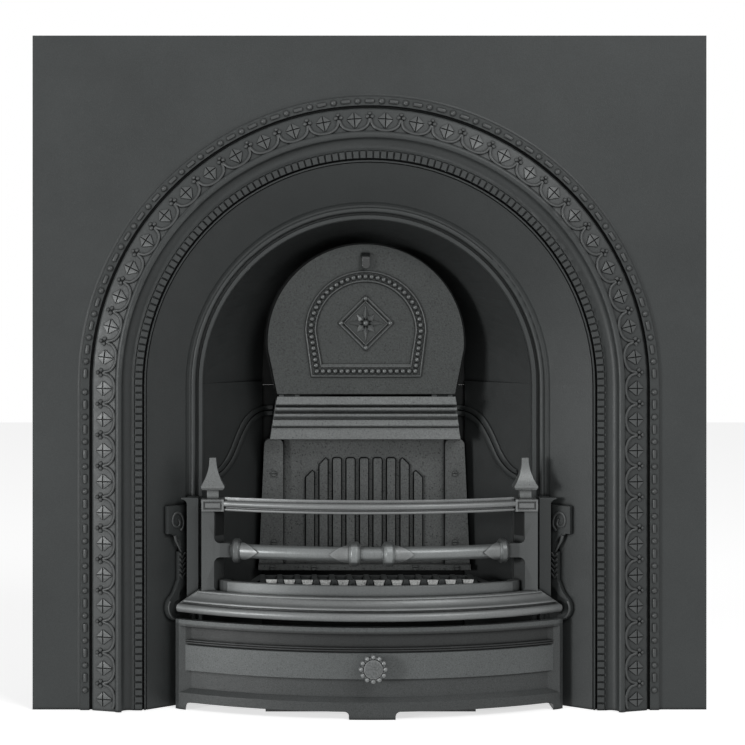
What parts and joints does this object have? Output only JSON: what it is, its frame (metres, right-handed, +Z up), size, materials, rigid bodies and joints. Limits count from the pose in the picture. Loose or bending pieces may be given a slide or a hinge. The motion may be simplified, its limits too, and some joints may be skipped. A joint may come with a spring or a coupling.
{
  "type": "cast iron fireplace",
  "caption": "Arched cast iron fireplace with a square face plate, bowed basket front, tilting damper plate, loose grate and a bowed ash-pan cover.",
  "frame": {"origin": "on the hearth, in the middle of the whole part's width and depth", "axes": "+X to the right seen from the room, +Y into the wall, +Z up; the plate's face lies at Y = -0.04175 m"},
  "size_m": [0.965, 0.2784, 0.965],
  "materials": {
    "black_iron": "satin black-leaded casting",
    "chamber_iron": "matt dark casting",
    "burnished_iron": "satin casting, rubbed brighter on the edges",
    "fastener_steel": "dark oiled steel",
    "sheet_steel": "black stoved sheet steel"
  },
  "bodies": {
    "frame": {"face_plate": "black_iron", "cheek_left": "chamber_iron", "cheek_right": "chamber_iron", "crown": "chamber_iron", "back_plate": "chamber_iron", "damper_collar": "chamber_iron", "damper_pins": "fastener_steel", "throat_moulding": "black_iron", "fire_back": "black_iron", "side_brick_left": "chamber_iron", "side_brick_right": "chamber_iron", "back_ledge": "chamber_iron", "brick_screws": "fastener_steel", "basket_front": "burnished_iron", "top_rail": "burnished_iron", "finial_left": "burnished_iron", "finial_right": "burnished_iron", "finial_studs": "fastener_steel", "hearth_shelf": "burnished_iron", "scroll_bracket_left": "black_iron", "scroll_bracket_right": "black_iron", "bracket_screws": "fastener_steel", "basket_screws": "fastener_steel", "shelf_screws": "fastener_steel", "chamber_bolts": "fastener_steel", "rear_bolts": "fastener_steel"},
    "damper": {"damper_plate": "black_iron", "damper_hook": "black_iron"},
    "grate": {"bottom_grate": "chamber_iron"},
    "cover": {"ash_cover": "black_iron", "cover_knob": "burnished_iron", "knob_screw": "fastener_steel"},
    "pan": {"ash_pan": "sheet_steel", "pan_handle": "sheet_steel"}
  },
  "joints": [
    {"name": "damper_tilt", "type": "hinge", "parent": "frame", "child": "damper", "pos_m": [0, 0.05925, 0.4455], "axis": [1, 0, 0], "range_deg": [0, 35]},
    {"name": "ash_cover_slide", "type": "slide", "parent": "frame", "child": "cover", "axis": [0, -1, 0], "range_m": [0, 0.22]},
    {"name": "ash_pan_slide", "type": "slide", "parent": "frame", "child": "pan", "axis": [0, -1, 0], "range_m": [0, 0.22]},
    {"name": "grate_lift", "type": "slide", "parent": "frame", "child": "grate", "axis": [0, 0, 1], "range_m": [0, 0.08]}
  ],
  "couplings": [
    {"joint": "ash_pan_slide", "follows": "ash_cover_slide", "ratio": 1}
  ]
}
